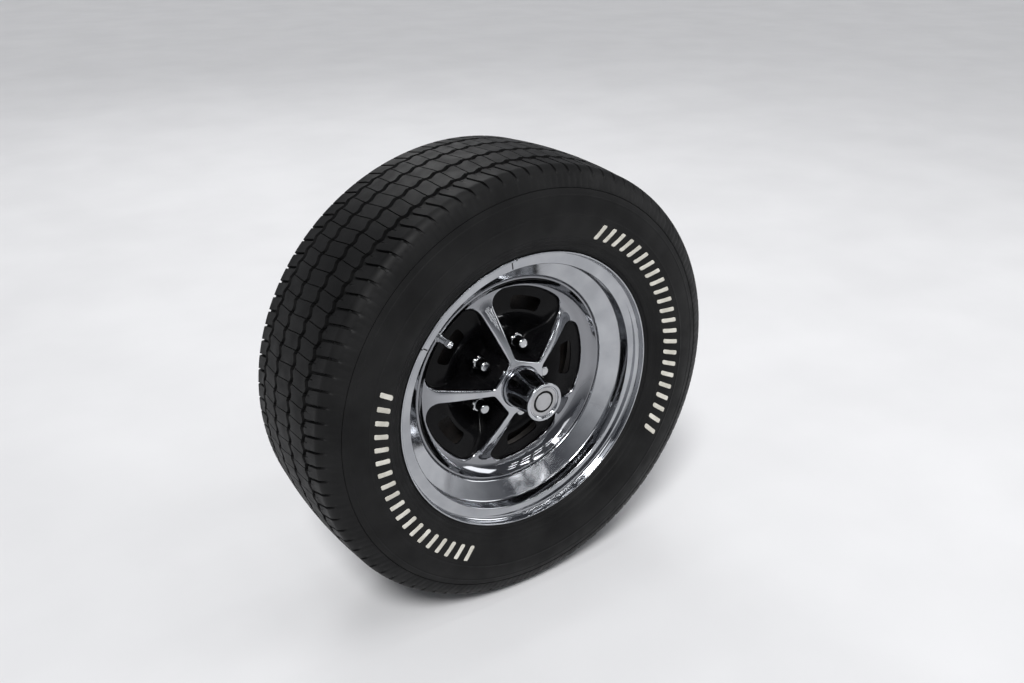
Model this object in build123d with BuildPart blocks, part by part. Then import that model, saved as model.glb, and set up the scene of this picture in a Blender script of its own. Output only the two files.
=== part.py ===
from build123d import *
from math import cos, radians, sin, tan
import os

# Front wheel end of an old muscle car: a chromed five-spoke steel wheel and its tyre,
# bolted to a brake drum and hub that turn on the spindle of a forged knuckle.
# Millimetres. Z is up and X is to the front of the car. The wheel faces -Y and turns about Y.
# The origin is on the turning axis, in the knuckle's inboard face, where the suspension bolts on.

# Knuckle and brake, counted outboard from the inboard face
knuckle_depth = 39.0
plate_sheet = 3.0
drum_running_gap = 5.0
drum_depth = 76.8
drum_web = 6.0

# Rim, 15 in across the bead seats and 7 in between the flanges
rim_back_spacing = 108.0
rim_overall_width = 203.2
rim_sheet = 2.8
bead_seat_r = 190.5
lip_r = 209.5
flange_depth = 12.7
flange_foot_r = 189.5
bead_seat_width = 19.0
well_r = 162.8
well_start = 47.5
well_end = 92.0
inner_seat_start = 122.0
flange_bend = 6.0
seat_bend = 2.2
shelf_bend = 5.0
well_bend = 4.0

# Tyre, 235 mm wide, 60 series
tyre_r = 331.5
tyre_width = 240.0
tread_width = 203.0
bulge_r = 262.0
sidewall = 9.0
tread_thickness = 15.0
bead_gap = 0.2
bead_chamfer = 5.0
bead_toe = 2.0
crown_drop = 5.0
tread_edge_round = 14.0
buttress_drop = 16.0
buttress_swell = 3.0
shoulder_sag = 3.1
groove_width = 8.0
groove_depth = 8.0
groove_inner = 22.0
groove_outer = 63.0

# Spider: the pressed disc with its five raised spokes
spoke_count = 5
pocket_phase = 70.64
spider_sheet = 4.0
spider_pad = 6.2
hub_ring_r = 35.5
hub_ring_depth = 27.0
crest_mid_r = 85.0
crest_mid_depth = 42.5
valley_r = 134.0
valley_depth = 67.0
ring_edge_depth = 49.0
pocket_outer_r = 138.0
spoke_half_width_hub = 4.8
spoke_half_width_rim = 13.0
pocket_corner_inner = 8.0
pocket_corner_outer = 20.0
pad_r = 72.0
floor_shelf_r = 99.0
floor_shelf_depth = 71.0
pilot_r = 35.7
tower_bore_r = 31.0
tower_base_r = 39.0
weld_flange_length = 26.0
weld_gap = 0.2
vent_r = 113.0
vent_height = 21.0
vent_angle = 27.0
vent_corner = 6.0
crest_round = 1.5
channel_wall = 3.0
tower_chamfer = 3.0
tower_edge_round = 1.5
rim_rise_r = 8.0
rim_rise = 3.5
ring_edge_round = 4.0
ring_edge_lift = 0.6
ring_edge_lead = 2.8
tower_rise = 1.0

# Centre cap
cap_reach = 31.1
cap_face_r = 28.8
cap_neck_r = 25.6
cap_skirt = 16.0
cap_sheet = 1.6
cap_dish = 3.0
cap_fit = 0.2
cap_flare = 7.0
cap_bead = 1.8
cap_bead_width = 6.0
cap_bead_fall = 1.6
cap_neck_start = 2.0
cap_neck_sheet = 2.6
ring_outer_r = 16.2
ring_width = 3.0
ring_gap = 0.2
ring_proud = 0.4

# Studs and nuts
stud_circle_r = 57.15
stud_r = 6.35
stud_gap = 0.05
stud_hole_gap = 0.4
stud_head_r = 9.0
stud_head = 4.0
nut_hex = 20.6
nut_length = 41.7
nut_hex_length = 24.0
nut_dome_r = 8.2
nut_seat_r = 9.7
nut_seat = 4.5
nut_thread_r = 6.45
nut_seat_angle = 60.0
nut_seat_gap = 0.1
nut_chamfer = 1.4
nut_thread_spare = 8.0

# Valve
valve_angle = 140.0
valve_seat_r = 163.5
valve_lean = 20.0
valve_stem_r = 3.9
valve_stem_length = 19.0
valve_cap_r = 4.8
valve_cap_length = 10.0
valve_hole_r = 4.2
valve_collar = 2.0
valve_collar_length = 1.6
valve_collar_start = 2.73
valve_cap_round = 1.8

# Cover strip on the rim's flange
strip_start = 97.0
strip_end = 146.5
strip_sheet = 0.8
strip_gap = 0.1
strip_foot = 3.0
strip_lip_bend = 0.2

# Brake drum and hub
drum_shell_r = 139.7
drum_wall = 8.0
drum_fin = 3.5
drum_fin_width = 4.0
drum_fin_count = 4
drum_fin_root = 3.0
drum_flat = 12.0
drum_inner_flat = 10.0
drum_web_step = 4.0
drum_corner = 12.0
drum_corner_lead = 8.0
hub_flange_r = 74.0
hub_flange = 10.0
hub_barrel_r = 36.0
hub_nose_r = 28.0
hub_nose_in_cap = 8.8
hub_back = 6.0
hub_step = 10.0
hub_step_gap = 1.0
hub_pilot_length = 5.0
hub_pilot_slope = 9.0
hub_pilot_gap = 0.2
hub_root = 6.0
hub_root_slope = 10.0

# Spindle and knuckle
spindle_root_r = 20.0
spindle_tip_r = 11.0
spindle_end_gap = 12.0
journal_gap = 0.05
root_spread = 14.0
root_foot = 2.0
knuckle_web = 18.0
web_recess = 3.0
web_waist = 10.0
web_corner = 8.0
knuckle_flange_r = 58.0
knuckle_flange = 8.0
bolt_spacing_x = 76.0
bolt_spacing_z = 92.0
bolt_boss_r = 14.0
mount_hole_r = 6.6
plate_hole_gap = 0.4
ball_joint_height = 142.0
ball_joint_lean = 24.0
ball_joint_bore_r = 9.0
ball_joint_boss_r = 17.0
ball_joint_boss = 30.0
arm_foot_width = 62.0
arm_tip_width = 26.0
arm_depth = 16.0
arm_corner = 4.0
arm_rib = 7.0
arm_recess = 3.0
arm_recess_start = 66.0
arm_recess_end = 118.0
eye_chamfer = 1.5
plate_r = 147.0
plate_dish = 5.0
plate_dish_slope = 6.0
plate_dish_gap = 20.0
plate_edge = 9.0
plate_bend_r = 3.0

# Places along the axis
plate_back_y = -knuckle_depth
plate_front_y = plate_back_y - plate_sheet
drum_edge_y = plate_front_y - drum_running_gap
web_inner_y = drum_edge_y - drum_depth
wheel_face_y = web_inner_y - drum_web
lip_y = wheel_face_y + rim_back_spacing - rim_overall_width
rim_mid_y = lip_y + rim_overall_width / 2
pad_face_y = wheel_face_y - spider_pad


def radial_plane(angle):
    """Plane through the axis, with x out along the angle and y along the axis."""
    a = radians(angle)
    return Plane(origin=(0, 0, 0), x_dir=(cos(a), 0, sin(a)), z_dir=(-sin(a), 0, cos(a)))


def at(r, depth):
    """Point of a revolved profile, depth counted inboard from the rim's outer lip."""
    return (r, lip_y + depth)


# Tyre: a hollow casing with its beads against the rim's flanges and four grooves round its tread
with BuildPart() as tyre:
    side = (tyre_width - rim_overall_width) / 2
    shoulder = (rim_overall_width - tread_width) / 2
    seat = bead_seat_r + bead_gap
    bead_back = flange_depth + rim_sheet + bead_gap
    middle = rim_overall_width / 2
    tread_edge = at(tyre_r - crown_drop, shoulder + tread_edge_round)
    buttress = at(tyre_r - buttress_drop, shoulder - buttress_swell)
    lining_edge = at(tyre_r - tread_thickness - crown_drop, shoulder + 2 * sidewall)
    bead_inside = at(lip_r + sidewall, bead_back + sidewall)
    with BuildSketch(Plane.XY) as tyre_section:
        with BuildLine():
            Polyline(
                at(seat, bead_back + 2 * sidewall),
                at(seat, bead_back + bead_toe),
                at(seat + bead_toe, bead_back),
                at(lip_r - bead_chamfer, bead_back),
                at(lip_r + bead_gap, bead_back - bead_chamfer),
                at(lip_r + bead_gap, bead_toe),
            )
            TangentArc(at(bulge_r, -side), at(lip_r + bead_gap, bead_toe), tangent=(-1, 0))
            TangentArc(at(bulge_r, -side), buttress, tangent=(1, 0))
            SagittaArc(buttress, tread_edge, -shoulder_sag)
            TangentArc(at(tyre_r, middle), tread_edge, tangent=(0, -1))
            Polyline(at(tyre_r, middle), at(tyre_r - tread_thickness, middle), lining_edge)
            TangentArc(at(bulge_r, sidewall - side), lining_edge, tangent=(1, 0))
            TangentArc(at(bulge_r, sidewall - side), bead_inside, tangent=(-1, 0))
            Line(bead_inside, at(seat, bead_back + 2 * sidewall))
        make_face()
        for groove_place in (groove_inner, groove_outer):
            groove_floor_r = tyre_r - groove_depth - crown_drop * (2 * groove_place / tread_width) ** 2
            with Locations(at(groove_floor_r + groove_depth, middle - groove_place)):
                Rectangle(2 * groove_depth, groove_width, mode=Mode.SUBTRACT)
        mirror(about=Plane.XZ.offset(-rim_mid_y))
    revolve(axis=Axis.Y)
tyre.part.label = "tyre"

# Rim: one rolled sheet, with flanges, bead seats and the drop well
inner_seat_r = bead_seat_r - rim_sheet
well_inner_r = well_r - rim_sheet
seat_end = flange_depth + bead_seat_width
valve_share = (inner_seat_r - valve_seat_r) / (inner_seat_r - well_inner_r)
valve_depth = seat_end + valve_share * (well_start - seat_end)
va = radians(valve_angle)
vl = radians(valve_lean)
valve_plane = Plane(
    origin=(valve_seat_r * cos(va), lip_y + valve_depth, valve_seat_r * sin(va)),
    x_dir=(-sin(va), 0, cos(va)),
    z_dir=(-sin(vl) * cos(va), -cos(vl), -sin(vl) * sin(va)),
)
with BuildPart() as rim:
    with BuildSketch(Plane.XY) as rim_section:
        with BuildLine() as rim_face:
            FilletPolyline(
                at(lip_r - rim_sheet, 0),
                at(lip_r - rim_sheet, flange_depth),
                at(inner_seat_r, flange_depth),
                at(inner_seat_r, seat_end),
                at(well_inner_r, well_start),
                at(well_inner_r, well_end),
                at(inner_seat_r, inner_seat_start),
                at(inner_seat_r, rim_overall_width - flange_depth),
                at(lip_r - rim_sheet, rim_overall_width - flange_depth),
                at(lip_r - rim_sheet, rim_overall_width),
                radius=[
                    flange_bend,
                    seat_bend,
                    shelf_bend,
                    well_bend,
                    well_bend,
                    shelf_bend,
                    seat_bend,
                    flange_bend,
                ],
            )
            offset(amount=rim_sheet, side=Side.RIGHT)
        make_face()
    revolve(axis=Axis.Y)
    with BuildSketch(valve_plane) as valve_hole:
        Circle(valve_hole_r)
    extrude(amount=3 * rim_sheet, both=True, mode=Mode.SUBTRACT)
rim.part.label = "rim"


# Spider: a pressed disc with a raised skin, five pockets, and spokes left hollow behind
floor_depth = rim_overall_width - rim_back_spacing - spider_pad
face_depth = floor_depth + spider_pad
flange_r = well_inner_r - weld_gap
edge_r = flange_r - spider_sheet
ring_front = hub_ring_depth - tower_rise
half_pocket = radians(180 / spoke_count)


def pocket_side(reach, half_width):
    """Corner of a pocket beside its spoke, in the pocket's own frame."""
    across = cos(half_pocket) * reach + sin(half_pocket) * half_width
    return (across, sin(half_pocket) * reach - cos(half_pocket) * half_width)


with BuildPart() as pockets:
    with BuildSketch(Plane.XZ.offset(-lip_y)) as pocket_outlines:
        with BuildSketch(mode=Mode.PRIVATE) as pocket_outline:
            near = pocket_side(hub_ring_r / cos(half_pocket), spoke_half_width_hub)
            far = pocket_side(pocket_outer_r - 2, spoke_half_width_rim)
            with BuildLine():
                Line((near[0], -near[1]), near)
                Line(near, far)
                ThreePointArc(far, (pocket_outer_r, 0), (far[0], -far[1]))
                Line((far[0], -far[1]), (near[0], -near[1]))
            make_face()
            corners = pocket_outline.vertices().sort_by(Axis.X)
            fillet(corners[:2], radius=pocket_corner_inner)
            fillet(corners[2:], radius=pocket_corner_outer)
        with PolarLocations(0, spoke_count, start_angle=pocket_phase):
            add(pocket_outline.sketch)
    extrude(amount=-face_depth)
    with BuildSketch(Plane.XY) as pocket_floor:
        with BuildLine():
            Polyline(
                at(0, 0),
                at(lip_r, 0),
                at(lip_r, floor_shelf_depth),
                at(floor_shelf_r, floor_shelf_depth),
                at(pad_r, floor_depth),
                at(0, floor_depth),
                at(0, 0),
            )
        make_face()
    revolve(axis=Axis.Y, mode=Mode.INTERSECT)

with BuildPart() as channels:
    with BuildSketch(Plane.XZ.offset(-lip_y)) as channel_outlines:
        with BuildSketch(mode=Mode.PRIVATE) as channel_outline:
            near_half = spoke_half_width_hub - channel_wall
            far_half = spoke_half_width_rim - channel_wall
            channel_end = valley_r - 2 * spider_sheet
            with BuildLine():
                Polyline(
                    (tower_bore_r, -near_half),
                    (channel_end, -far_half),
                    (channel_end, far_half),
                    (tower_bore_r, near_half),
                    (tower_bore_r, -near_half),
                )
            make_face()
        with PolarLocations(0, spoke_count, start_angle=pocket_phase + 180 / spoke_count):
            add(channel_outline.sketch)
    extrude(amount=-face_depth - 1)
    with BuildSketch(Plane.XY) as channel_roof:
        with BuildLine():
            ThreePointArc(
                at(0, ring_front + spider_sheet),
                at(crest_mid_r, crest_mid_depth + spider_sheet),
                at(valley_r, valley_depth + spider_sheet),
            )
            Polyline(
                at(valley_r, valley_depth + spider_sheet),
                at(valley_r, face_depth + 2),
                at(0, face_depth + 2),
                at(0, ring_front + spider_sheet),
            )
        make_face()
    revolve(axis=Axis.Y, mode=Mode.INTERSECT)

with BuildPart() as spider:
    with BuildSketch(Plane.XY) as spider_section:
        with BuildLine():
            Polyline(
                at(tower_bore_r, ring_front + tower_chamfer),
                at(tower_bore_r + tower_edge_round, ring_front),
                at(hub_ring_r, ring_front),
            )
            ring_edge = at(edge_r, ring_edge_depth)
            ring_bend = at(edge_r + ring_edge_lead, ring_edge_depth + ring_edge_lift)
            ring_back = at(flange_r, ring_edge_depth + ring_edge_round)
            valley = at(valley_r, valley_depth)
            ThreePointArc(at(hub_ring_r, ring_front), at(crest_mid_r, crest_mid_depth), valley)
            ThreePointArc(valley, at(valley_r + rim_rise_r, valley_depth - rim_rise), ring_edge)
            ThreePointArc(ring_edge, ring_bend, ring_back)
            Polyline(
                ring_back,
                at(flange_r, ring_edge_depth + weld_flange_length),
                at(edge_r, ring_edge_depth + weld_flange_length),
                at(edge_r, ring_edge_depth + 2.5 * spider_sheet),
                at(valley_r + 1.5 * spider_sheet, valley_depth + 1.4 * spider_sheet),
                at(floor_shelf_r, floor_shelf_depth + spider_sheet),
                at(pad_r + spider_sheet, face_depth),
                at(pilot_r, face_depth),
                at(pilot_r, floor_depth),
                at(tower_base_r - spider_sheet, floor_depth - spider_sheet),
                at(tower_bore_r, ring_front + tower_chamfer),
            )
        make_face()
    revolve(axis=Axis.Y)
    add(pockets.part, mode=Mode.SUBTRACT)
    pocket_edges = spider.edges(Select.LAST).filter_by_position(Axis.Y, lip_y, lip_y + valley_depth + 0.5)
    fillet(pocket_edges.filter_by(GeomType.BSPLINE), radius=crest_round)
    add(channels.part, mode=Mode.SUBTRACT)
    with BuildSketch(Plane.XZ.offset(-lip_y)) as vents:
        with BuildSketch(mode=Mode.PRIVATE) as vent:
            low = vent_r - vent_height / 2
            high = vent_r + vent_height / 2
            with BuildLine():
                low_arc = CenterArc((0, 0), low, -vent_angle / 2, vent_angle)
                high_arc = CenterArc((0, 0), high, -vent_angle / 2, vent_angle)
                Line(low_arc @ 0, high_arc @ 0)
                Line(low_arc @ 1, high_arc @ 1)
            make_face()
            fillet(vent.vertices(), radius=vent_corner)
        with PolarLocations(0, spoke_count, start_angle=pocket_phase):
            add(vent.sketch)
    extrude(amount=-face_depth, mode=Mode.SUBTRACT)
    with Locations(Plane.XZ.offset(-pad_face_y)):
        with PolarLocations(stud_circle_r, spoke_count, start_angle=pocket_phase):
            CounterSinkHole(
                nut_thread_r + stud_hole_gap,
                nut_seat_r + nut_seat_gap,
                2 * spider_pad,
                nut_seat_angle,
            )
spider.part.label = "spider"

# Cover strip: a thin bright strip laid on the rim's flange
with BuildPart() as cover_strip:
    with BuildSketch(radial_plane(strip_end)) as strip_section:
        with BuildLine() as strip_back:
            FilletPolyline(
                at(lip_r, -strip_gap),
                at(lip_r - rim_sheet - strip_gap, -strip_gap),
                at(lip_r - rim_sheet - strip_gap, flange_depth - strip_gap),
                at(flange_foot_r + strip_foot, flange_depth - strip_gap),
                radius=[strip_lip_bend, flange_bend - strip_gap],
            )
            offset(amount=strip_sheet, side=Side.LEFT)
        make_face()
    revolve(axis=Axis.Y, revolution_arc=strip_end - strip_start)
cover_strip.part.label = "cover_strip"

# Centre cap: a drawn shell, pushed into the spider's hub, with a dished and flared face
cap_skirt_r = tower_bore_r - cap_fit
cap_floor = cap_dish - cap_reach
with BuildPart() as centre_cap:
    with BuildSketch(Plane.XY) as cap_section:
        with BuildLine():
            neck = at(cap_neck_r, cap_flare - cap_reach)
            crown = at(cap_face_r - cap_bead, -cap_reach)
            inner_slope = at(cap_face_r - cap_bead_width, cap_bead_fall - cap_reach)
            Polyline(
                at(cap_skirt_r, ring_front + cap_skirt),
                at(cap_skirt_r, ring_front - cap_neck_start),
                neck,
            )
            ThreePointArc(neck, at(cap_face_r, cap_bead - cap_reach), crown)
            ThreePointArc(crown, inner_slope, at(ring_outer_r, cap_floor))
            Polyline(
                at(ring_outer_r, cap_floor),
                at(0, cap_floor),
                at(0, cap_floor + cap_sheet),
                at(cap_neck_r - cap_sheet, cap_floor + cap_neck_sheet),
                at(cap_skirt_r - cap_sheet, ring_front),
                at(cap_skirt_r - cap_sheet, ring_front + cap_skirt),
                at(cap_skirt_r, ring_front + cap_skirt),
            )
        make_face()
    revolve(axis=Axis.Y)
centre_cap.part.label = "centre_cap"

cap_floor_plane = Plane.XZ.offset(-lip_y - cap_floor)
with BuildPart() as cap_ring:
    with BuildSketch(cap_floor_plane) as ring_outline:
        Circle(ring_outer_r - ring_gap)
        Circle(ring_outer_r - ring_width, mode=Mode.SUBTRACT)
    extrude(amount=ring_proud)
cap_ring.part.label = "cap_ring"

with BuildPart() as cap_disc:
    with BuildSketch(cap_floor_plane) as disc_outline:
        Circle(ring_outer_r - ring_width - ring_gap / 2)
    extrude(amount=2 * ring_proud)
    chamfer(cap_disc.faces().sort_by(Axis.Y)[0].edges(), length=ring_proud / 2)
cap_disc.part.label = "cap_disc"

# Lug nuts: closed chrome nuts, each a hexagon with a conical seat under it and a dome over it
nut_tip_r = nut_seat_r - nut_seat * tan(radians(nut_seat_angle / 2))
with BuildPart() as nut:
    with BuildSketch(Plane.XY) as nut_hexagon:
        RegularPolygon(nut_hex / 2, 6, major_radius=False)
    extrude(amount=nut_hex_length)
    with BuildSketch(Plane.XZ) as nut_turning:
        with BuildLine():
            corner_r = nut_hex / 2 / cos(radians(30))
            Polyline(
                (0, -nut_seat),
                (nut_tip_r, -nut_seat),
                (nut_seat_r, 0),
                (nut_hex / 2, 0),
                (corner_r, nut_chamfer),
                (corner_r, nut_hex_length - nut_chamfer),
                (nut_dome_r + nut_chamfer, nut_hex_length),
                (0, nut_hex_length),
                (0, -nut_seat),
            )
        make_face()
    revolve(axis=Axis.Z, mode=Mode.INTERSECT)
    with BuildSketch(Plane.XZ) as nut_ends:
        with BuildLine():
            Polyline((0, -nut_seat), (nut_tip_r, -nut_seat), (nut_seat_r, 0), (0, 0), (0, -nut_seat))
        make_face()
        with BuildLine():
            dome_top = nut_length - nut_dome_r
            Polyline((0, nut_hex_length), (nut_dome_r, nut_hex_length), (nut_dome_r, dome_top))
            ThreePointArc(
                (nut_dome_r, dome_top),
                (nut_dome_r * cos(radians(45)), dome_top + nut_dome_r * sin(radians(45))),
                (0, nut_length),
            )
            Line((0, nut_length), (0, nut_hex_length))
        make_face()
    revolve(axis=Axis.Z)
    with BuildSketch(Plane.XY.offset(-nut_seat)) as nut_bore:
        Circle(nut_thread_r)
    extrude(amount=nut_hex_length, mode=Mode.SUBTRACT)

with BuildPart(Plane.XZ.offset(-pad_face_y)) as lug_nuts:
    with PolarLocations(stud_circle_r, spoke_count, start_angle=pocket_phase):
        add(nut.part)
lug_nuts.part.label = "lug_nuts"

# Valve: a bright sleeve through the rim, and its cap
with BuildPart() as valve_stem:
    with BuildSketch(valve_plane.offset(-2 * rim_sheet)) as stem_outline:
        Circle(valve_stem_r)
    extrude(amount=2 * rim_sheet + valve_stem_length)
    with BuildSketch(valve_plane.offset(valve_collar_start)) as collar_outline:
        Circle(valve_stem_r + valve_collar)
    extrude(amount=valve_collar_length)
valve_stem.part.label = "valve_stem"

with BuildPart() as valve_cap:
    with BuildSketch(valve_plane.offset(valve_stem_length)) as cap_outline:
        Circle(valve_cap_r)
    extrude(amount=valve_cap_length)
    fillet(valve_cap.edges().filter_by(GeomType.CIRCLE).sort_by(Axis.Y)[0], radius=valve_cap_round)
valve_cap.part.label = "valve_cap"

# Brake drum: cast iron, with cooling fins round its shell
drum_r = drum_shell_r + drum_wall
with BuildPart() as brake_drum:
    with BuildSketch(Plane.XY) as drum_section:
        with BuildLine():
            Polyline(
                (pilot_r, wheel_face_y),
                (hub_flange_r + drum_flat, wheel_face_y),
                (drum_shell_r - drum_corner_lead, wheel_face_y + drum_web_step),
                (drum_r - drum_fin_root, wheel_face_y + drum_corner),
                (drum_r - drum_fin_root, drum_edge_y),
                (drum_shell_r, drum_edge_y),
                (drum_shell_r, web_inner_y + drum_corner),
                (drum_shell_r - drum_corner, web_inner_y + drum_web_step),
                (hub_flange_r + drum_inner_flat, web_inner_y),
                (pilot_r, web_inner_y),
                (pilot_r, wheel_face_y),
            )
        make_face()
        for fin in range(drum_fin_count):
            fin_y = drum_edge_y - drum_fin_width / 2 - fin * 3 * drum_fin_width
            with Locations((drum_r - drum_fin_root + drum_fin / 2, fin_y)):
                Rectangle(drum_fin + 1, drum_fin_width)
    revolve(axis=Axis.Y)
    with Locations(Plane.XZ.offset(-wheel_face_y)):
        with PolarLocations(stud_circle_r, spoke_count, start_angle=pocket_phase):
            Hole(stud_r + stud_hole_gap, depth=2 * drum_web)
brake_drum.part.label = "brake_drum"

# Hub: flange, wheel pilot, nose and bearing barrel, bored for the spindle
hub_back_y = plate_front_y - hub_back
hub_flange_back_y = web_inner_y + hub_flange
step_y = wheel_face_y + hub_step
hub_nose_y = lip_y + ring_front + cap_skirt - hub_nose_in_cap
spindle_end_y = hub_nose_y + spindle_end_gap
with BuildPart() as hub:
    with BuildSketch(Plane.XY) as hub_section:
        hub_corners = [
            (spindle_tip_r + journal_gap, hub_nose_y),
            (hub_nose_r, hub_nose_y),
            (hub_nose_r, wheel_face_y - hub_pilot_length - hub_pilot_slope),
            (pilot_r - hub_pilot_gap, wheel_face_y - hub_pilot_length),
            (pilot_r - hub_pilot_gap, web_inner_y),
            (hub_flange_r, web_inner_y),
            (hub_flange_r, hub_flange_back_y),
            (hub_barrel_r + hub_root, hub_flange_back_y),
            (hub_barrel_r, hub_flange_back_y + hub_root_slope),
            (hub_barrel_r, hub_back_y),
            (spindle_root_r + journal_gap, hub_back_y),
            (spindle_root_r + journal_gap, step_y - hub_step_gap),
            (spindle_tip_r + journal_gap, step_y - hub_step_gap),
        ]
        with BuildLine():
            Polyline(*hub_corners, close=True)
        make_face()
    revolve(axis=Axis.Y)
    with Locations(Plane.XZ.offset(-web_inner_y)):
        with PolarLocations(stud_circle_r, spoke_count, start_angle=pocket_phase):
            Hole(stud_r + stud_gap, depth=2 * hub_flange)
hub.part.label = "hub"

# Wheel studs: pressed into the hub's flange from behind
stud_length = hub_flange + drum_web + spider_pad + nut_hex_length - nut_thread_spare
with BuildPart(Plane.XZ.offset(-hub_flange_back_y)) as wheel_studs:
    with PolarLocations(stud_circle_r, spoke_count, start_angle=pocket_phase):
        Cylinder(stud_r, stud_length, align=(Align.CENTER, Align.CENTER, Align.MIN))
        Cylinder(stud_head_r, stud_head, align=(Align.CENTER, Align.CENTER, Align.MAX))
wheel_studs.part.label = "wheel_studs"

# Knuckle: a forging with the spindle, a waisted web, four bolt bosses and the upper ball joint's eye
root_boss_r = spindle_root_r + root_spread
with BuildPart() as knuckle:
    with BuildSketch(Plane.XY) as spindle_section:
        with BuildLine():
            Polyline(
                (0, 0),
                (root_boss_r, 0),
                (root_boss_r - root_foot, plate_back_y + 3 * root_foot),
                (spindle_root_r + 2 * root_foot, plate_back_y),
                (spindle_root_r, plate_front_y - root_foot),
                (spindle_root_r, step_y),
                (spindle_tip_r, step_y),
                (spindle_tip_r, spindle_end_y + eye_chamfer),
                (spindle_tip_r - eye_chamfer, spindle_end_y),
                (0, spindle_end_y),
                (0, 0),
            )
        make_face()
    revolve(axis=Axis.Y)
    with BuildSketch(Plane.XZ.offset(web_recess)) as web_outline:
        with BuildLine():
            web_x = bolt_spacing_x / 2 + web_corner
            web_z = bolt_spacing_z / 2 + web_corner
            ThreePointArc((web_x, web_z), (web_x - web_waist, 0), (web_x, -web_z))
            ThreePointArc((web_x, -web_z), (0, web_waist - web_z), (-web_x, -web_z))
            ThreePointArc((-web_x, -web_z), (web_waist - web_x, 0), (-web_x, web_z))
            Line((-web_x, web_z), (web_x, web_z))
        make_face()
    extrude(amount=knuckle_web - web_recess)
    with BuildSketch(Plane.XZ.offset(knuckle_depth)) as flange_outline:
        Circle(knuckle_flange_r)
    extrude(amount=-knuckle_flange)
    with BuildSketch(Plane.XZ) as boss_outline:
        with GridLocations(bolt_spacing_x, bolt_spacing_z, 2, 2):
            Circle(bolt_boss_r)
    extrude(amount=knuckle_depth)
    arm_foot_z = bolt_spacing_z / 2
    arm_foot_y = -web_recess - arm_depth / 2
    with BuildSketch(Plane.XY.offset(arm_foot_z)) as arm_foot:
        with Locations((0, arm_foot_y)):
            RectangleRounded(arm_foot_width, arm_depth, arm_corner)
    with BuildSketch(Plane.XY.offset(ball_joint_height)) as arm_tip:
        with Locations((0, ball_joint_lean)):
            RectangleRounded(arm_tip_width, arm_depth, arm_corner)
    loft()
    for recess_z in (arm_recess_start, arm_recess_end):
        share = (recess_z - arm_foot_z) / (ball_joint_height - arm_foot_z)
        recess_y = arm_foot_y + share * (ball_joint_lean - arm_foot_y) + arm_depth / 2
        recess_width = arm_foot_width + share * (arm_tip_width - arm_foot_width) - 2 * arm_rib
        with BuildSketch(Plane.XY.offset(recess_z)):
            with Locations((0, recess_y)):
                RectangleRounded(recess_width, 2 * arm_recess, arm_recess / 2)
    loft(mode=Mode.SUBTRACT)
    with BuildSketch(Plane.XY.offset(ball_joint_height - ball_joint_boss / 2)) as eye_outline:
        with Locations((0, ball_joint_lean)):
            Circle(ball_joint_boss_r)
    extrude(amount=ball_joint_boss)
    chamfer(knuckle.faces().sort_by(Axis.Z)[-1].edges(), length=eye_chamfer)
    with BuildSketch(Plane.XY.offset(ball_joint_height - ball_joint_boss / 2)) as eye_bore:
        with Locations((0, ball_joint_lean)):
            Circle(ball_joint_bore_r)
    extrude(amount=ball_joint_boss, mode=Mode.SUBTRACT)
    with Locations(Plane.XZ.offset(knuckle_depth)):
        with GridLocations(bolt_spacing_x, bolt_spacing_z, 2, 2):
            Hole(mount_hole_r, knuckle_depth)
knuckle.part.label = "knuckle"

# Backing plate: pressed sheet, clear of the drum all round
dish_in_r = knuckle_flange_r + plate_dish_gap
dish_out_r = plate_r - plate_edge
with BuildPart() as backing_plate:
    with BuildSketch(Plane.XY) as plate_section:
        with BuildLine() as plate_face:
            FilletPolyline(
                (spindle_root_r + 3 * root_foot, plate_front_y),
                (dish_in_r, plate_front_y),
                (dish_in_r + plate_dish_slope, plate_front_y + plate_dish),
                (dish_out_r - plate_dish_slope, plate_front_y + plate_dish),
                (dish_out_r, plate_front_y),
                (plate_r, plate_front_y),
                radius=plate_bend_r,
            )
            offset(amount=plate_sheet, side=Side.LEFT)
        make_face()
    revolve(axis=Axis.Y)
    with Locations(Plane.XZ.offset(-plate_front_y)):
        with GridLocations(bolt_spacing_x, bolt_spacing_z, 2, 2):
            Hole(mount_hole_r + plate_hole_gap, depth=3 * plate_sheet)
backing_plate.part.label = "backing_plate"

os.makedirs("parts", exist_ok=True)
pieces = (
    tyre, rim, spider, cover_strip, centre_cap, cap_ring, cap_disc, lug_nuts, valve_stem, valve_cap,
    brake_drum, hub, wheel_studs, knuckle, backing_plate,
)
for piece in pieces:
    export_step(piece.part, "parts/" + piece.part.label + ".step")
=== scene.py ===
from math import atan2, ceil, copysign, cos, hypot, pi, radians, sin, sqrt, tan

import bmesh
import bpy
from mathutils import Matrix, Vector, geometry


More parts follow.
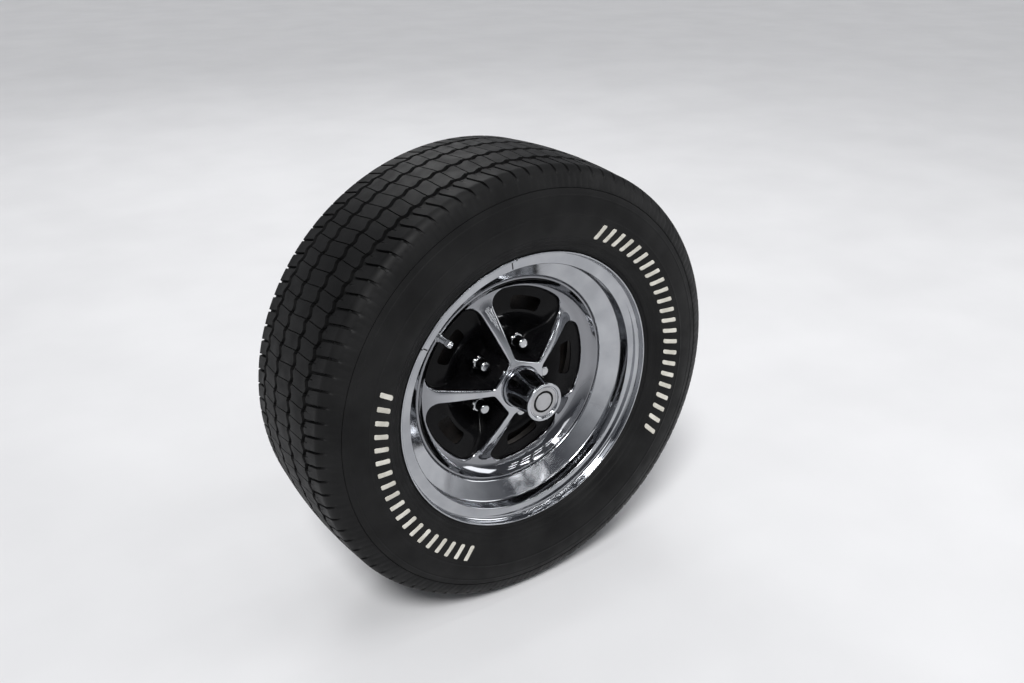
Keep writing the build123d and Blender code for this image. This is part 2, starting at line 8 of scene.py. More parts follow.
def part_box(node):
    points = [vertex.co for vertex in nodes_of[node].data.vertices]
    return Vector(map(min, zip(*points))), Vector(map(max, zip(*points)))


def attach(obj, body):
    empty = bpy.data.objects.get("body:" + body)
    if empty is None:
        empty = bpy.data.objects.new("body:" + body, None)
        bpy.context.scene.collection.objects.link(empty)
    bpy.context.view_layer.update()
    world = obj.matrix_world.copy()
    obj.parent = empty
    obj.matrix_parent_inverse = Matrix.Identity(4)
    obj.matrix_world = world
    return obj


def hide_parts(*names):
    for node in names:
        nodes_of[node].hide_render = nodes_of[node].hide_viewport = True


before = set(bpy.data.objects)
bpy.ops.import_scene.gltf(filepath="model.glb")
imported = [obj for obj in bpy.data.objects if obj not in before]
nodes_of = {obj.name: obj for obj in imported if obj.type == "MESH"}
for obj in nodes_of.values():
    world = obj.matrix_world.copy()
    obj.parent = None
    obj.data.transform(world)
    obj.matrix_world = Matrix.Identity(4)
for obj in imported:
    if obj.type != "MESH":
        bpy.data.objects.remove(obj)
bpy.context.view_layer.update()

# Studio: a camera in front of the wheel and to one side, above the hub and looking down on it, and
# a pale floor under the tyre. Soft lamps stand over the camera's shoulder, at one side and behind,
# and rows of slim lamps hang overhead and draw bright lines in the chrome.
camera_azimuth = radians(-34.3)
camera_elevation = radians(25.15)
camera_place = Vector((-0.7229, -1.2348, 0.6646))
toward_camera = Vector((
    sin(camera_azimuth) * cos(camera_elevation),
    -cos(camera_azimuth) * cos(camera_elevation),
    sin(camera_elevation),
))


def stand_up(name, data, place=(0, 0, 0), way=None):
    """Puts a thing in the scene at a place, facing along a way where one is given."""
    thing = bpy.data.objects.new(name, data)
    thing.location = place
    if way is not None:
        thing.rotation_mode = "QUATERNION"
        thing.rotation_quaternion = way.to_track_quat("-Z", "Y")
    bpy.context.scene.collection.objects.link(thing)
    return thing


camera_data = bpy.data.cameras.new("camera")
camera_data.lens = 35.0
camera_data.sensor_width = 36.0
bpy.context.scene.camera = stand_up("camera", camera_data, camera_place, -toward_camera)
bpy.context.scene.view_settings.view_transform = "Standard"


def lamp(name, place, aim, size, watts):
    """Flat soft lamp of a given width and height, turned to face a point."""
    data = bpy.data.lights.new(name, "AREA")
    data.shape = "RECTANGLE"
    data.size, data.size_y = size
    data.energy = watts
    stand_up(name, data, place, Vector(aim) - Vector(place))


wheel_middle = (0.0, -0.14, 0.0)
lamp("shoulder_lamp", (-2.2, -2.4, 2.6), wheel_middle, size=(1.6, 1.2), watts=14)
lamp("side_lamp", (2.8, -1.5, 1.4), wheel_middle, size=(0.9, 1.6), watts=16)
lamp("back_lamp", (0.8, 2.8, 2.2), wheel_middle, size=(1.8, 1.0), watts=26)
rows_height = 2.5
rows_lean = 0.2


def lamp_rows(name, first, gaps, counts, size, watts):
    """Rows of slim lamps overhead, each turned a little to the back."""
    for row in range(counts[1]):
        for i in range(counts[0]):
            x, y = first[0] + gaps[0] * i, first[1] - gaps[1] * row
            lamp(f"{name}_{row}_{i}", (x, y, rows_height), (x, y + rows_lean, 0), size, watts)


lamp_rows("slim_lamp", (-0.65, 0.74), gaps=(0.7, 0.62), counts=(4, 6), size=(0.46, 0.05), watts=1.2)
lamp_rows("far_lamp", (0.6, -4.4), gaps=(1.4, 0.6), counts=(3, 5), size=(1.1, 0.12), watts=1.5)

sun_data = bpy.data.lights.new("skylight", "SUN")
sun_data.energy = 2.5
sun_data.angle = radians(16)
stand_up("skylight", sun_data, way=Vector((0.45, 0.5, -0.85)))


def node_in(tree, kind, links=None, values=None):
    """New node in a tree, with outputs linked to its inputs and values set on them by name."""
    node = tree.nodes.new("ShaderNode" + kind)
    for socket, output in (links or {}).items():
        tree.links.new(output, node.inputs[socket])
    for socket, value in (values or {}).items():
        node.inputs[socket].default_value = value
    return node


world = bpy.data.worlds.new("studio_walls")
bpy.context.scene.world = world
world.use_nodes = True
sky = world.node_tree
direction = node_in(sky, "TexCoord").outputs["Generated"]
upward = node_in(sky, "SeparateXYZ", {0: direction}).outputs["Z"]
walls = node_in(sky, "ValToRGB", {0: upward})
sky.links.new(walls.outputs[0], sky.nodes["Background"].inputs[0])
walls.color_ramp.elements[0].color = (0.62, 0.63, 0.65, 1)
walls.color_ramp.elements[1].color = (0.15, 0.155, 0.165, 1)
walls.color_ramp.elements.new(0.34).color = (0.12, 0.125, 0.14, 1)

floor_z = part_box("tyre")[0].z
floor_reach = 30.0
floor_corners = [
    (x * floor_reach, y * floor_reach, floor_z) for x, y in ((-1, -1), (1, -1), (1, 1), (-1, 1))
]
floor_mesh = bpy.data.meshes.new("floor")
floor_mesh.from_pydata(floor_corners, [], [(0, 1, 2, 3)])
floor = stand_up("floor", floor_mesh)


def finish(name, dark, light, patch, rough, metal=0.0, grain=None, specular=0.5):
    """Finish in two shades that run into each other in patches, with a fine grain.

    Patch counts the patches to the metre, and rough is the least and the most roughness.
    Grain is a count to the metre and a height in metres."""
    made = bpy.data.materials.new(name)
    made.use_nodes = True
    tree = made.node_tree
    shader = tree.nodes["Principled BSDF"]
    shader.inputs["Metallic"].default_value = metal
    shader.inputs["Specular IOR Level"].default_value = specular
    where = node_in(tree, "TexCoord").outputs["Object"]

    def mottle(count, detail):
        """Noise over the piece, with a count of patches to the metre."""
        sizes = {"Scale": count, "Detail": detail}
        return node_in(tree, "TexNoise", {"Vector": where}, sizes).outputs["Fac"]

    shades = node_in(tree, "ValToRGB", {0: mottle(patch, 5.0)})
    shades.name = "shades"
    for stop, place, shade in zip(shades.color_ramp.elements, (0.35, 0.68), (dark, light)):
        stop.position = place
        stop.color = (*shade, 1)
    tree.links.new(shades.outputs[0], shader.inputs["Base Color"])
    spread_out = {"From Min": 0.3, "From Max": 0.72, "To Min": rough[0], "To Max": rough[1]}
    sheen = node_in(tree, "MapRange", {"Value": mottle(patch * 2.7, 6.0)}, spread_out)
    tree.links.new(sheen.outputs[0], shader.inputs["Roughness"])
    if grain:
        depth = {"Strength": 1.0, "Distance": grain[1]}
        bump = node_in(tree, "Bump", {"Height": mottle(grain[0], 3.0)}, depth)
        tree.links.new(bump.outputs[0], shader.inputs["Normal"])
    return made


pale_floor = finish("pale_floor", (0.70, 0.70, 0.71), (0.74, 0.74, 0.75), patch=3, rough=(0.5, 0.62))
floor_mesh.materials.append(pale_floor)

# Knuckle: one steel forging, shot-blasted and left bare, so it has a dull brown-grey skin.
# Its bolting face, ball joint eye and spindle are machined bright.
eye_y = 0.024
eye_z = 0.142
eye_half = 0.015
eye_bore_r = 0.0095
bolt_x = 0.038
bolt_z = 0.046
bolt_face_r = 0.0142
bolt_hole_r = 0.0070
centre_face_r = 0.0345
spindle_start_y = -0.042


def wear(thing, made):
    """The CAD piece keeps its shape and takes this finish."""
    thing.data.materials.clear()
    thing.data.materials.append(made)
    for face in thing.data.polygons:
        face.use_smooth = True
    thing.data.set_sharp_from_angle(angle=radians(30))


forged = finish(
    "forged_steel", (0.055, 0.045, 0.04), (0.13, 0.115, 0.10),
    patch=34, rough=(0.5, 0.78), metal=0.55, grain=(520, 0.0006),
)
wear(nodes_of["knuckle"], forged)
machined = finish(
    "machined_steel", (0.27, 0.26, 0.25), (0.34, 0.33, 0.315),
    patch=70, rough=(0.26, 0.40), metal=1.0, grain=(900, 0.00004),
)
knuckle_mesh = nodes_of["knuckle"].data
knuckle_mesh.materials.append(machined)
for face in knuckle_mesh.polygons:
    place = face.center
    from_bolt = hypot(abs(place.x) - bolt_x, abs(place.z) - bolt_z)
    on_face = abs(place.y) < 0.0003 and face.normal.y > 0.9
    on_bolt_face = on_face and (from_bolt < bolt_face_r or hypot(place.x, place.z) < centre_face_r)
    on_eye_face = abs(face.normal.z) > 0.9 and abs(place.z - eye_z) > eye_half - 0.0005
    in_eye = hypot(place.x, place.y - eye_y) < eye_bore_r and abs(place.z - eye_z) < eye_half
    if on_bolt_face or on_eye_face or in_eye or from_bolt < bolt_hole_r or place.y < spindle_start_y:
        face.material_index = 1

# Backing plate: a steel pressing painted satin black, bolted on behind the drum.
# It carries the wheel cylinder's two bolts and bleeder, the pins that hold the shoes,
# and a rubber plug in the slot where the brake is adjusted.
mm = 0.001
plate_out_y = -34.0
cylinder_z = 112.0
cylinder_bolt_x = 24.0
hold_pin_x = 106.0
bleeder_x = -39.0
bleeder_z = 108.0
bolt_across = 11.0


def piece_of(name, points, faces, made, sharp=40):
    """One piece from its corner points and faces, with soft shading between sharp edges."""
    mesh = bpy.data.meshes.new(name)
    mesh.from_pydata(points, [], faces)
    mesh.materials.append(made)
    shell = bmesh.new()
    shell.from_mesh(mesh)
    bmesh.ops.remove_doubles(shell, verts=shell.verts, dist=0.005 * mm)
    bmesh.ops.recalc_face_normals(shell, faces=shell.faces)
    shell.to_mesh(mesh)
    shell.free()
    for face in mesh.polygons:
        face.use_smooth = True
    mesh.set_sharp_from_angle(angle=radians(sharp))
    return stand_up(name, mesh)


def skin_over(across, rows, ring=True, loop=True, first=0):
    """Four-sided faces over rows of points laid one after another.

    In a ring each row is closed, and in a loop the last row meets the first."""
    faces = []
    for row in range(rows if loop else rows - 1):
        here, there = first + row * across, first + (row + 1) % rows * across
        for i in range(across if ring else across - 1):
            j = (i + 1) % across
            faces.append((here + i, here + j, there + j, there + i))
    return faces


def spun(outline, steps=48, shape=None):
    """Points and faces of a closed outline of radius and height spun about its own Z axis."""
    points = []
    for step in range(steps):
        angle = 2 * pi * step / steps
        for r, h in outline:
            reach = shape(r, angle, h) if shape else r
            points.append(Vector((reach * cos(angle), reach * sin(angle), h)))
    return points, skin_over(len(outline), steps, ring=False)


def set_down(name, parts, made, sharp=35):
    """One piece from several spun shapes, each with the frame that carries it into place."""
    points, faces = [], []
    for (shape_points, shape_faces), place in parts:
        first = len(points)
        points += [place @ p * mm for p in shape_points]
        faces += [tuple(first + i for i in face) for face in shape_faces]
    return piece_of(name, points, faces, made, sharp)


def frame_at(place, way):
    """Frame whose Z axis runs along a way, set at a place in millimetres."""
    return Matrix.Translation(place) @ Vector(way).to_track_quat("Z", "Y").to_matrix().to_4x4()


def hexed(across, soft=0.3):
    """Cuts a spun shape down to a hexagon."""
    def cut(r, angle, h):
        wrap = (angle + pi / 6) % (pi / 3) - pi / 6
        return min(r, across / 2 / cos(wrap), across / 2 / cos(pi / 6) - soft)
    return cut


def fit(thing, body, slot, *stands_for):
    """The piece rides on its body and stands for its plain CAD solids, which are hidden. The slot is not
    used.
    """
    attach(thing, body)
    if stands_for:
        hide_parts(*stands_for)


def on_plate(x, z):
    """Frame on the plate's inboard side, its Z axis standing out from the plate."""
    return frame_at((x, plate_out_y, z), (0, 1, 0))


plate_paint = finish(
    "plate_paint", (0.018, 0.018, 0.019), (0.05, 0.046, 0.042),
    patch=22, rough=(0.34, 0.6), grain=(300, 0.0002),
)
wear(nodes_of["backing_plate"], plate_paint)
bolt_steel = finish(
    "bolt_steel", (0.20, 0.18, 0.14), (0.36, 0.33, 0.27),
    patch=90, rough=(0.32, 0.55), metal=0.9, grain=(700, 0.0001),
)
bolt_outline = [(0, -1), (7.6, -1), (7.6, 0.9), (6.4, 1.0), (6.4, 5.2), (5.6, 5.9), (0, 5.9)]
pin_outline = [(0, -1), (6.5, -1), (6.5, 0.6), (5.8, 1.2), (3.2, 1.4), (2.9, 2.4), (1.8, 3.0), (0, 3.2)]
bleeder_outline = [(0, -1), (4.4, -1), (4.4, 5.0), (3.0, 5.6), (2.2, 9.0)]
bleeder_outline += [(2.2, 11.0), (3.0, 12.0), (2.6, 14.0), (0, 14.0)]
hardware = []
for x in (-cylinder_bolt_x, cylinder_bolt_x):
    hardware.append((spun(bolt_outline, shape=hexed(bolt_across)), on_plate(x, cylinder_z)))
for x in (-hold_pin_x, hold_pin_x):
    hardware.append((spun(pin_outline, steps=36), on_plate(x, 0)))
hardware.append((spun(bleeder_outline, steps=36), on_plate(bleeder_x, bleeder_z)))
plate_bolts = set_down("backing_plate_bolts", hardware, bolt_steel)
fit(plate_bolts, "knuckle", "stud_steel")
plug_outline = [(0, -1), (7.0, -1), (7.0, 1.4), (6.2, 2.2), (4.6, 2.4), (4.2, 1.6), (0, 1.5)]
plug_rubber = finish("plug_rubber", (0.010, 0.010, 0.010), (0.022, 0.021, 0.020), patch=60, rough=(0.5, 0.7))
plug_stretch = Matrix.Diagonal((1.9, 1.0, 1.0, 1.0))
plug_frame = on_plate(0, -cylinder_z) @ plug_stretch
plug = set_down("adjuster_slot_plug", [(spun(plug_outline), plug_frame)], plug_rubber)
fit(plug, "knuckle", "black_steel")

# Hub and studs: an iron hub, turned all over, that runs on the spindle's bearings. Five plated
# steel studs are pressed into its flange from behind, and hold the drum and the wheel.
hub_iron = finish(
    "hub_iron", (0.16, 0.15, 0.14), (0.30, 0.28, 0.26),
    patch=40, rough=(0.35, 0.6), metal=0.8, grain=(600, 0.0002),
)
wear(nodes_of["hub"], hub_iron)
stud_steel = finish(
    "stud_steel", (0.32, 0.30, 0.26), (0.45, 0.43, 0.38),
    patch=60, rough=(0.3, 0.5), metal=1.0, grain=(900, 0.0001),
)
wear(nodes_of["wheel_studs"], stud_steel)

# Brake drum: cast iron, as rough as the sand mould left it, slipped over the studs.
# It was painted black once and has rusted since.
drum_iron = finish(
    "cast_iron", (0.012, 0.011, 0.011), (0.034, 0.026, 0.021),
    patch=30, rough=(0.6, 0.85), grain=(420, 0.0009),
)
wear(nodes_of["brake_drum"], drum_iron)

# Rim: one strip of steel rolled into a hoop, with flanges, bead seats and a drop well,
# welded, polished and chromed. Its places are depths inboard from the outer lip.
lip_y = -225.0
rim_width = 203.2
rim_sheet = 2.8
lip_r = 209.5
bead_seat_r = 190.5
flange_depth = 12.7
seat_end = 31.7
well_r = 162.8
well_start = 47.5
well_end = 92.0
inner_seat_start = 122.0
lip_round = 1.3


def rounded(points, radii, turn=radians(5)):
    """Path through flat points with each inner corner replaced by an arc."""
    path = [Vector(points[0])]
    for before, corner, after, radius in zip(points, points[1:], points[2:], radii):
        corner = Vector(corner)
        back = (Vector(before) - corner).normalized()
        ahead = (Vector(after) - corner).normalized()
        opening = back.angle(ahead)
        if radius == 0 or opening > pi - 0.001:
            path.append(corner)
            continue
        reach = radius / tan(opening / 2)
        middle = corner + (back + ahead).normalized() * (radius / sin(opening / 2))
        start = corner + back * reach - middle
        bend = pi - opening
        side = 1 if back.x * ahead.y - back.y * ahead.x < 0 else -1
        steps = max(3, ceil(bend / turn))
        for step in range(steps + 1):
            angle = side * bend * step / steps
            path.append(middle + Matrix.Rotation(angle, 2) @ start)
    path.append(Vector(points[-1]))
    return path


def beside(path, distance):
    """The path moved sideways, to its right as it runs."""
    moved = []
    for i, point in enumerate(path):
        along = (path[min(i + 1, len(path) - 1)] - path[max(i - 1, 0)]).normalized()
        moved.append(point + Vector((along.y, -along.x)) * distance)
    return moved


def around(r, angle, depth):
    """Place at a radius and an angle round the wheel, a depth inboard from the rim's lip."""
    return (r * cos(angle) * mm, (lip_y + depth) * mm, r * sin(angle) * mm)


def turned(name, outline, made, steps=288, start=0.0, sweep=2 * pi, sharp=40):
    """Piece turned round the wheel's axis from a closed outline of radius and depth."""
    full = sweep > 2 * pi - 0.001
    count = len(outline)
    rows = steps if full else steps + 1
    points = [
        around(max(p[0], 0.0), start + sweep * row / steps, p[1]) for row in range(rows) for p in outline
    ]
    faces = skin_over(count, rows, loop=full)
    if not full:
        faces.append(tuple(range(count)))
        faces.append(tuple(range(steps * count, (steps + 1) * count)))
    return piece_of(name, points, faces, made, sharp)


def plated(name, dark, light, rough):
    """Chrome plate: nearly a mirror, with faint ripples from polishing and a little dust."""
    return finish(name, dark, light, patch=26, rough=rough, metal=1.0, grain=(95, 0.00001))


rim_chrome = plated("rim_chrome", (0.36, 0.37, 0.39), (0.45, 0.46, 0.48), rough=(0.05, 0.12))
seen_r = lip_r - rim_sheet
seat_in_r = bead_seat_r - rim_sheet
well_in_r = well_r - rim_sheet
rim_face = rounded(
    [
        (seen_r, lip_round), (seen_r, flange_depth), (seat_in_r, flange_depth), (seat_in_r, seat_end),
        (well_in_r, well_start), (well_in_r, well_end), (seat_in_r, inner_seat_start),
        (seat_in_r, rim_width - flange_depth), (seen_r, rim_width - flange_depth),
        (seen_r, rim_width - lip_round),
    ],
    [6, 2.2, 5, 4, 4, 5, 2.2, 6],
)
rim_back = beside(rim_face, rim_sheet)


def lip_end(depth, outward):
    """Half round that closes the sheet's edge at the lip."""
    half = rim_sheet / 2
    middle = Vector((lip_r - half, depth))
    rise = outward * min(half, lip_round)
    bends = [radians(degrees) for degrees in range(20, 180, 20)]
    return [middle + Vector((half * cos(bend), rise * sin(bend))) for bend in bends]


def dust_and_shade_over(made, ways, clean_at, dust_and_shade_full_at, dust):
    """Dust and painted shade over a finish: none at one distance from the part's origin, and full at
    another.

    Ways says along which axes that distance counts."""
    tree = made.node_tree
    where = node_in(tree, "TexCoord").outputs["Object"]
    counted = node_in(tree, "VectorMath", {0: where}, {1: ways})
    counted.operation = "MULTIPLY"
    away = node_in(tree, "VectorMath", {0: counted.outputs[0]})
    away.operation = "LENGTH"
    ends = {"From Min": clean_at * mm, "From Max": dust_and_shade_full_at * mm}
    cover = node_in(tree, "MapRange", {"Value": away.outputs["Value"]}, ends)
    shades = tree.nodes["shades"].outputs[0]
    # The colour laid over is dust and painted shade together.
    dusted_and_shaded = node_in(tree, "MixRGB", {"Fac": cover.outputs[0], "Color1": shades}, {"Color2": (*dust, 1)})
    tree.links.new(dusted_and_shaded.outputs[0], tree.nodes["Principled BSDF"].inputs["Base Color"])


rim_outline = rim_face + lip_end(rim_width - lip_round, 1)[::-1] + rim_back[::-1] + lip_end(lip_round, -1)
rim = turned("chromed_rim", rim_outline, rim_chrome)
dull_start = 76.0
bare_away = 20.0
dust_and_shade_away = 70.0
rim_dull = finish(
    "rim_inside", (0.14, 0.135, 0.13), (0.24, 0.235, 0.23),
    patch=30, rough=(0.28, 0.5), metal=1.0, grain=(260, 0.00006),
)
# Dust and painted shade on the dull inside: nearly black behind the spider, clearing towards the inboard
# lip.
dust_and_shade_over(rim_dull, (0, 1, 0), bare_away, dust_and_shade_away, (0.016, 0.014, 0.013))
rim.data.materials.append(rim_dull)
for face in rim.data.polygons:
    place = face.center / mm
    inner_side = face.normal.x * place.x + face.normal.z * place.z < 0
    if place.y - lip_y > dull_start and (inner_side or face.normal.y > 0.2):
        face.material_index = 1
fit(rim, "wheel", "chrome", "rim")


# Spider: one disc of steel pressed to shape, with five raised spokes and five deep pockets,
# its flange welded inside the rim's well. It is chromed all over, then the pockets are painted
# gloss black up to the rolled edges of the spokes. Vents and stud holes are pierced in their floors.
spoke_count = 5
pocket_phase = radians(70.64)
half_pocket = pi / spoke_count
hub_ring_r = 35.5
hub_ring_depth = 26.0
hub_bore_r = 31.0
hub_bore_length = 20.0
spoke_mid = (85.0, 42.5)
valley = (134.0, 67.0)
valley_blend = 11.0
bowl_mid = (142.0, 63.5)
bowl_end_r = 155.8
ring_edge_r = 156.2
ring_edge_depth = 49.0
ring_edge_lift = 0.6
weld_flange_length = 26.0
crown_at_hub = 0.7
crown_gain = 2.3
crown_start_r = 40.0
crown_full_r = 58.0
crown_fade_r = 112.0
crown_lean_most = 1.25
pocket_outer_r = 138.0
spoke_half_hub = 4.8
spoke_half_rim = 13.0
pocket_corner_inner = 8.0
pocket_corner_outer = 20.0
ring_join_r = 153.0
well_fit = 0.2
pad_depth = 89.0
pad_r = 66.0
shelf_depth = 71.0
shelf_r = 103.0
edge_roll_least = 1.8
edge_roll_gain = 1.4
edge_roll_start_r = 40.0
edge_roll_run = 50.0
wall_draft = 0.05
floor_round = 4.0
floor_round_share = 0.85
wall_bunching = 1.5
stud_circle_r = 57.15
stud_seat_r = 9.9
vent_r = 113.0
vent_height = 21.0
vent_angle = radians(27)
vent_corner = 6.0
pressed_sheet = 2.6
painted_reflection_start_r = 96.0
painted_reflection_end_r = 140.0


def arc_through(a, b, c):
    """Centre and radius of the arc through three flat points."""
    ax, ay = b[0] - a[0], b[1] - a[1]
    bx, by = c[0] - a[0], c[1] - a[1]
    twice = 2 * (ax * by - ay * bx)
    ux = (by * (ax * ax + ay * ay) - ay * (bx * bx + by * by)) / twice
    uy = (ax * (bx * bx + by * by) - bx * (ax * ax + ay * ay)) / twice
    return Vector((a[0] + ux, a[1] + uy)), hypot(ux, uy)


def polar(r, angle):
    """Flat point at a radius and an angle."""
    return Vector((cos(angle), sin(angle))) * r


def eased(x):
    """Smooth step from 0 to 1."""
    x = min(1.0, max(0.0, x))
    return x * x * (3 - 2 * x)


spoke_arc, spoke_arc_r = arc_through((hub_ring_r, hub_ring_depth), spoke_mid, valley)
bowl_arc, bowl_arc_r = arc_through(valley, bowl_mid, (bowl_end_r, ring_edge_depth))


def face_depth(r):
    """Depth of the chromed face: the spokes' long curve, run softly into the outer ring's bowl."""
    spoke = spoke_arc.y - sqrt(max(0.0, spoke_arc_r**2 - (r - spoke_arc.x) ** 2))
    if r < bowl_arc.x:
        return spoke
    bowl = bowl_arc.y + sqrt(max(0.0, bowl_arc_r**2 - (r - bowl_arc.x) ** 2))
    overlap = max(0.0, valley_blend - abs(spoke - bowl)) / valley_blend
    return min(spoke, bowl) - overlap * overlap * valley_blend / 4


def floor_depth(r):
    """Depth of a pocket's floor: deep at the lug pads, rising to a shelf round the vents."""
    return pad_depth - (pad_depth - shelf_depth) * eased((r - pad_r) / (shelf_r - pad_r))


spoke_line = polar(1.0, half_pocket)
spoke_side = Vector((sin(half_pocket), -cos(half_pocket)))
near = spoke_line * (hub_ring_r / cos(half_pocket)) + spoke_side * spoke_half_hub
far = spoke_line * (pocket_outer_r - 2) + spoke_side * spoke_half_rim
edge_way = (far - near).normalized()
edge_in = Vector((edge_way.y, -edge_way.x))


def crowned_depth(point):
    """Face depth with each spoke's top rounded across, more so where the spoke is wide."""
    r = point.length
    upper = Vector((point.x, abs(point.y)))
    along = upper.dot(spoke_line)
    across = abs(upper.dot(spoke_side))
    share = min(1.0, max(0.0, (along - near.length) / (pocket_outer_r - near.length)))
    half = spoke_half_hub + (spoke_half_rim - spoke_half_hub) * share
    lean = min(crown_lean_most, across / half)
    rise = eased((r - crown_start_r) / (crown_full_r - crown_start_r))
    fall = eased((r - crown_fade_r) / (pocket_outer_r - crown_fade_r))
    return face_depth(r) + (crown_at_hub + crown_gain * share) * lean * lean * rise * (1 - fall)


def pocket_half():
    """Half of a pocket's outline, from the hub side to the rim side, with marks at its two corners."""
    inner = near + edge_in * pocket_corner_inner
    inner += edge_way * ((near.x + pocket_corner_inner - inner.x) / edge_way.x)
    outer = near + edge_in * pocket_corner_outer
    lead = outer.dot(edge_way)
    reach = pocket_outer_r - pocket_corner_outer
    outer += edge_way * (sqrt(lead * lead - outer.length_squared + reach * reach) - lead)
    edge_angle = atan2(-edge_in.y, -edge_in.x)
    rim_angle = atan2(outer.y, outer.x)
    points = [Vector((near.x, inner.y * i / 6)) for i in range(6)]
    corner_steps = 14
    for i in range(corner_steps + 1):
        angle = pi + (edge_angle - pi) * i / corner_steps
        points.append(inner + polar(pocket_corner_inner, angle))
    inner_mark = 6 + corner_steps // 2
    start = points[-1]
    end = outer - edge_in * pocket_corner_outer
    side_steps = 34
    points += [start.lerp(end, i / side_steps) for i in range(1, side_steps)]
    outer_steps = 24
    outer_mark = len(points) + outer_steps // 2
    for i in range(outer_steps + 1):
        angle = edge_angle + (rim_angle - edge_angle) * i / outer_steps
        points.append(outer + polar(pocket_corner_outer, angle))
    arc_steps = 16
    for i in range(1, arc_steps + 1):
        angle = rim_angle * (1 - i / arc_steps)
        points.append(polar(pocket_outer_r, angle))
    return points, inner_mark, outer_mark


def spread(points, first, last):
    """Share of the way along the outline for each point between two marks."""
    lengths = [0.0]
    for i in range(first, last):
        lengths.append(lengths[-1] + (points[i + 1] - points[i]).length)
    return [length / lengths[-1] for length in lengths]


edge_half, inner_mark, outer_mark = pocket_half()
hub_end = spoke_line * hub_ring_r
ring_end = spoke_line * ring_join_r
share_half = []
for share in spread(edge_half, 0, inner_mark):
    share_half.append(polar(hub_ring_r, half_pocket * share))
for share in spread(edge_half, inner_mark, outer_mark)[1:]:
    share_half.append(hub_end.lerp(ring_end, share))
for share in spread(edge_half, outer_mark, len(edge_half) - 1)[1:]:
    angle = half_pocket * (1 - share)
    share_half.append(polar(ring_join_r, angle))


def closed(half):
    """Whole loop from its upper half."""
    return half + [Vector((p.x, -p.y)) for p in half[-2:0:-1]]


pocket_edge = closed(edge_half)
share_edge = closed(share_half)
edge_count = len(pocket_edge)
edge_normal = []
for i in range(edge_count):
    step = (pocket_edge[(i + 1) % edge_count] - pocket_edge[i - 1]).normalized()
    edge_normal.append(Vector((step.y, -step.x)))

loops = []
crest_steps = 9
roll_steps = 7
wall_steps = 6
foot_steps = 5
edge_roll = []
for point in pocket_edge:
    widening = eased((point.length - edge_roll_start_r) / edge_roll_run)
    edge_roll.append(edge_roll_least + edge_roll_gain * widening)
for step in range(crest_steps):
    share = step / crest_steps
    loop = []
    for i in range(edge_count):
        point = share_edge[i].lerp(pocket_edge[i] - edge_normal[i] * edge_roll[i], share)
        loop.append((point, crowned_depth(point)))
    loops.append(loop)
for step in range(roll_steps + 1):
    angle = pi / 2 * step / roll_steps
    loop = []
    for i in range(edge_count):
        roll = edge_roll[i]
        point = pocket_edge[i] - edge_normal[i] * roll * (1 - sin(angle))
        loop.append((point, crowned_depth(point) + roll * (1 - cos(angle))))
    loops.append(loop)
chrome_loops = len(loops)
top_loop = loops[-1]
for step in range(1, wall_steps + foot_steps + 1):
    loop = []
    for i in range(edge_count):
        top = top_loop[i][1]
        foot = floor_depth(pocket_edge[i].length)
        round_r = min(floor_round, floor_round_share * (foot - top))
        drop = foot - round_r - top
        if step <= wall_steps:
            fall = drop * (step / wall_steps) ** wall_bunching
            inward = wall_draft * fall
        else:
            angle = pi / 2 * (step - wall_steps) / foot_steps
            fall = drop + round_r * sin(angle)
            inward = wall_draft * drop + round_r * (1 - cos(angle))
        loop.append((pocket_edge[i] + edge_normal[i] * inward, top + fall))
    loops.append(loop)


def vent_outline():
    """Outline of a vent: a rounded rectangle bent round the wheel's axis."""
    corner_steps = 5
    half_long = vent_r * vent_angle / 2 - vent_corner
    half_high = vent_height / 2 - vent_corner
    turned_places = []
    for quarter, (side, end) in enumerate(((1, 1), (-1, 1), (-1, -1), (1, -1))):
        for step in range(corner_steps + 1):
            bend = pi / 2 * (quarter + step / corner_steps)
            run = side * half_long + vent_corner * cos(bend)
            turned_places.append((run / vent_r, vent_r + end * half_high + vent_corner * sin(bend)))
    outline = []
    for (turn, r), (next_turn, next_r) in zip(turned_places, turned_places[1:] + turned_places[:1]):
        cuts = max(1, round(abs(next_turn - turn) / radians(1.8)))
        for cut in range(cuts):
            angle = turn + (next_turn - turn) * cut / cuts
            reach = r + (next_r - r) * cut / cuts
            outline.append(polar(reach, angle))
    return outline


def inside(point, ring):
    """True where a flat point lies inside a closed ring."""
    hit = False
    for a, b in zip(ring, ring[1:] + ring[:1]):
        if (a.y > point.y) != (b.y > point.y):
            if point.x < a.x + (point.y - a.y) * (b.x - a.x) / (b.y - a.y):
                hit = not hit
    return hit


def clear_of(point, ring, gap):
    """True where a flat point keeps a gap from every corner of a ring."""
    return all((point - corner).length > gap for corner in ring)


foot_edge = [place[0] for place in loops[-1]]
stud_seat = [
    Vector((stud_circle_r + stud_seat_r * cos(a), stud_seat_r * sin(a)))
    for a in (radians(10 * i) for i in range(36))
]
holes = [stud_seat, vent_outline()]


def on_floor(point):
    """True where a flat point lies on the pocket's floor and in none of its holes."""
    return inside(point, foot_edge) and not any(inside(point, hole) for hole in holes)


floor_points = list(foot_edge)
floor_edges = [(i, (i + 1) % edge_count) for i in range(edge_count)]
for hole in holes:
    first = len(floor_points)
    floor_points += hole
    floor_edges += [(first + i, first + (i + 1) % len(hole)) for i in range(len(hole))]
floor_step = 3.2
floor_gap = 1.6
for i in range(int(pocket_outer_r / floor_step)):
    r = floor_step * (i + 0.5)
    turns = max(1, round(2 * half_pocket * r / floor_step))
    for j in range(turns + 1):
        angle = half_pocket * (2 * j / turns - 1)
        point = Vector((r * cos(angle), r * sin(angle)))
        if on_floor(point) and all(clear_of(point, ring, floor_gap) for ring in (foot_edge, *holes)):
            floor_points.append(point)
laid = geometry.delaunay_2d_cdt(floor_points, floor_edges, [], 0, 1e-5)
floor_places = laid[0]
floor_faces = []
for face in laid[2]:
    if on_floor(sum((floor_places[i] for i in face), Vector((0, 0))) / len(face)):
        floor_faces.append(face)

